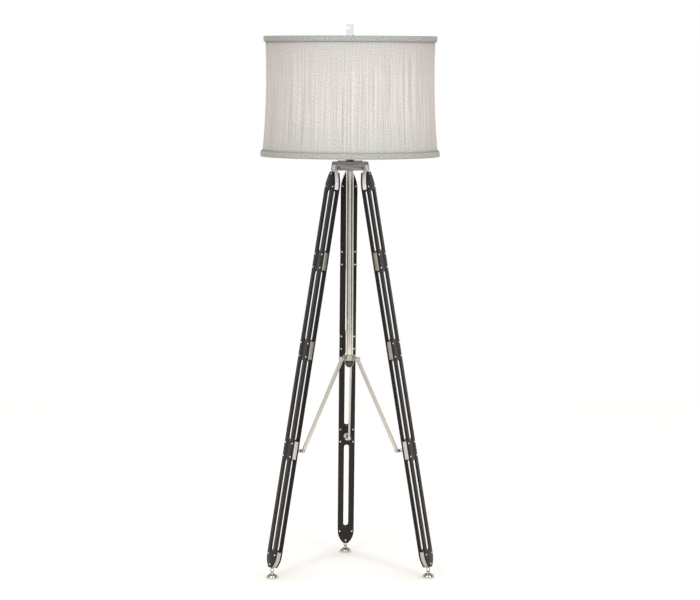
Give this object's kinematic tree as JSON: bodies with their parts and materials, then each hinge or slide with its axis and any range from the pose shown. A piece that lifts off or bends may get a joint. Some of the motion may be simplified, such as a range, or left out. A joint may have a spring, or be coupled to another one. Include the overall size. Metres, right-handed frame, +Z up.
{
  "type": "tripod floor lamp",
  "caption": "Floor lamp on a folding tripod of paired dark planks with nickel blocks, spreader arms and bell feet, under a waisted fabric drum shade.",
  "frame": {"origin": "on the floor, under the centre of the lamp's bounding box; the lamp's own axis is the column's, 9.1 mm in front of it", "axes": "+Z up along the column; +Y towards the rear leg; +X to the right of someone who faces the lamp from the front, where two legs stand"},
  "size_m": [0.4978, 0.516, 1.5221],
  "materials": {
    "ebonised_wood": "ebonised, satin lacquer",
    "polished_nickel": "polished nickel plate",
    "brushed_nickel": "fine brushed nickel plate",
    "shade_fabric": "slubbed off-white cloth, finely gathered",
    "shade_trim": "padded grey-green self trim",
    "nickel_wire": "nickel plated steel",
    "brass_fitting": "drawn brass",
    "bulb_glass": "frosted",
    "clear_acrylic": "clear, polished",
    "black_plastic": "moulded"
  },
  "bodies": {
    "stand": {"hub": "brushed_nickel", "column": "polished_nickel", "column_cap": "polished_nickel", "cord_bushing": "black_plastic", "riser_tube": "brass_fitting", "harp_saddle": "nickel_wire", "harp": "nickel_wire", "socket_cap": "brass_fitting", "socket_shell": "brass_fitting", "bulb_base": "nickel_wire", "bulb": "bulb_glass", "left_hinge_pin": "polished_nickel", "back_hinge_pin": "polished_nickel", "right_hinge_pin": "polished_nickel"},
    "left_leg": {"left_outer_plank": "ebonised_wood", "left_inner_plank": "ebonised_wood", "left_top_block": "polished_nickel", "left_upper_block": "polished_nickel", "left_middle_block": "polished_nickel", "left_lower_block": "polished_nickel", "left_foot_block": "polished_nickel", "left_foot_stud": "polished_nickel", "left_arm_bracket": "polished_nickel", "left_arm_screw": "polished_nickel"},
    "left_arm": {"left_arm": "polished_nickel"},
    "left_foot": {"left_foot": "polished_nickel"},
    "back_leg": {"back_outer_plank": "ebonised_wood", "back_inner_plank": "ebonised_wood", "back_top_block": "polished_nickel", "back_upper_block": "polished_nickel", "back_middle_block": "polished_nickel", "back_lower_block": "polished_nickel", "back_foot_block": "polished_nickel", "back_foot_stud": "polished_nickel", "back_arm_bracket": "polished_nickel", "back_arm_screw": "polished_nickel"},
    "back_arm": {"back_arm": "polished_nickel"},
    "back_foot": {"back_foot": "polished_nickel"},
    "right_leg": {"right_outer_plank": "ebonised_wood", "right_inner_plank": "ebonised_wood", "right_top_block": "polished_nickel", "right_upper_block": "polished_nickel", "right_middle_block": "polished_nickel", "right_lower_block": "polished_nickel", "right_foot_block": "polished_nickel", "right_foot_stud": "polished_nickel", "right_arm_bracket": "polished_nickel", "right_arm_screw": "polished_nickel"},
    "right_arm": {"right_arm": "polished_nickel"},
    "right_foot": {"right_foot": "polished_nickel"},
    "spreader": {"spreader_collar": "polished_nickel"},
    "lock_screw": {"collar_lock_screw": "polished_nickel"},
    "switch": {"switch_knob": "black_plastic"},
    "shade": {"shade_spider": "nickel_wire", "shade_frame": "nickel_wire", "shade_fabric": "shade_fabric", "shade_trim_top": "shade_trim", "shade_trim_bottom": "shade_trim"},
    "finial": {"finial_ferrule": "polished_nickel", "finial": "clear_acrylic"}
  },
  "joints": [
    {"name": "left_leg_fold", "type": "hinge", "parent": "stand", "child": "left_leg", "pos_m": [-0.04105, -0.0328, 1.13], "axis": [0.5, -0.866, 0], "range_deg": [0, 8.5]},
    {"name": "left_arm_pivot", "type": "hinge", "parent": "left_leg", "child": "left_arm", "pos_m": [-0.13269, -0.08571, 0.34688], "axis": [0.5, -0.866, 0], "range_deg": [0, 16.44]},
    {"name": "left_foot_tilt", "type": "hinge", "parent": "left_leg", "child": "left_foot", "pos_m": [-0.21607, -0.13385, 0.021], "axis": [0.5, -0.866, 0], "range_deg": [-8.5, 0]},
    {"name": "back_leg_fold", "type": "hinge", "parent": "stand", "child": "back_leg", "pos_m": [0, 0.0383, 1.13], "axis": [-1, 0, 0], "range_deg": [0, 8.5]},
    {"name": "back_arm_pivot", "type": "hinge", "parent": "back_leg", "child": "back_arm", "pos_m": [0, 0.14411, 0.34688], "axis": [-1, 0, 0], "range_deg": [0, 16.44]},
    {"name": "back_foot_tilt", "type": "hinge", "parent": "back_leg", "child": "back_foot", "pos_m": [0, 0.2404, 0.021], "axis": [-1, 0, 0], "range_deg": [-8.5, 0]},
    {"name": "right_leg_fold", "type": "hinge", "parent": "stand", "child": "right_leg", "pos_m": [0.04105, -0.0328, 1.13], "axis": [0.5, 0.866, 0], "range_deg": [0, 8.5]},
    {"name": "right_arm_pivot", "type": "hinge", "parent": "right_leg", "child": "right_arm", "pos_m": [0.13269, -0.08571, 0.34688], "axis": [0.5, 0.866, 0], "range_deg": [0, 16.44]},
    {"name": "right_foot_tilt", "type": "hinge", "parent": "right_leg", "child": "right_foot", "pos_m": [0.21607, -0.13385, 0.021], "axis": [0.5, 0.866, 0], "range_deg": [-8.5, 0]},
    {"name": "spreader_slide", "type": "slide", "parent": "stand", "child": "spreader", "axis": [0, 0, 1], "range_m": [0, 0.02232]},
    {"name": "lock_screw_turn", "type": "hinge", "parent": "spreader", "child": "lock_screw", "pos_m": [0, -0.0271, 0.5953], "axis": [0, -1, 0], "range_deg": [0, 720]},
    {"name": "switch_turn", "type": "hinge", "parent": "stand", "child": "switch", "pos_m": [0, -0.0391, 1.1799], "axis": [0, -1, 0], "continuous": true},
    {"name": "shade_turn", "type": "hinge", "parent": "stand", "child": "shade", "pos_m": [0, -0.0091, 1.4745], "axis": [0, 0, 1], "continuous": true},
    {"name": "finial_turn", "type": "hinge", "parent": "stand", "child": "finial", "pos_m": [0, -0.0091, 1.4748], "axis": [0, 0, 1], "range_deg": [0, 1440]}
  ],
  "couplings": [
    {"joint": "left_foot_tilt", "follows": "left_leg_fold", "ratio": -1},
    {"joint": "left_arm_pivot", "follows": "left_leg_fold", "ratio": 1.9346},
    {"joint": "back_leg_fold", "follows": "left_leg_fold", "ratio": 1},
    {"joint": "back_foot_tilt", "follows": "left_leg_fold", "ratio": -1},
    {"joint": "back_arm_pivot", "follows": "left_leg_fold", "ratio": 1.9346},
    {"joint": "right_leg_fold", "follows": "left_leg_fold", "ratio": 1},
    {"joint": "right_foot_tilt", "follows": "left_leg_fold", "ratio": -1},
    {"joint": "right_arm_pivot", "follows": "left_leg_fold", "ratio": 1.9346},
    {"joint": "spreader_slide", "follows": "left_leg_fold", "m_per_rad": 0.15042}
  ]
}
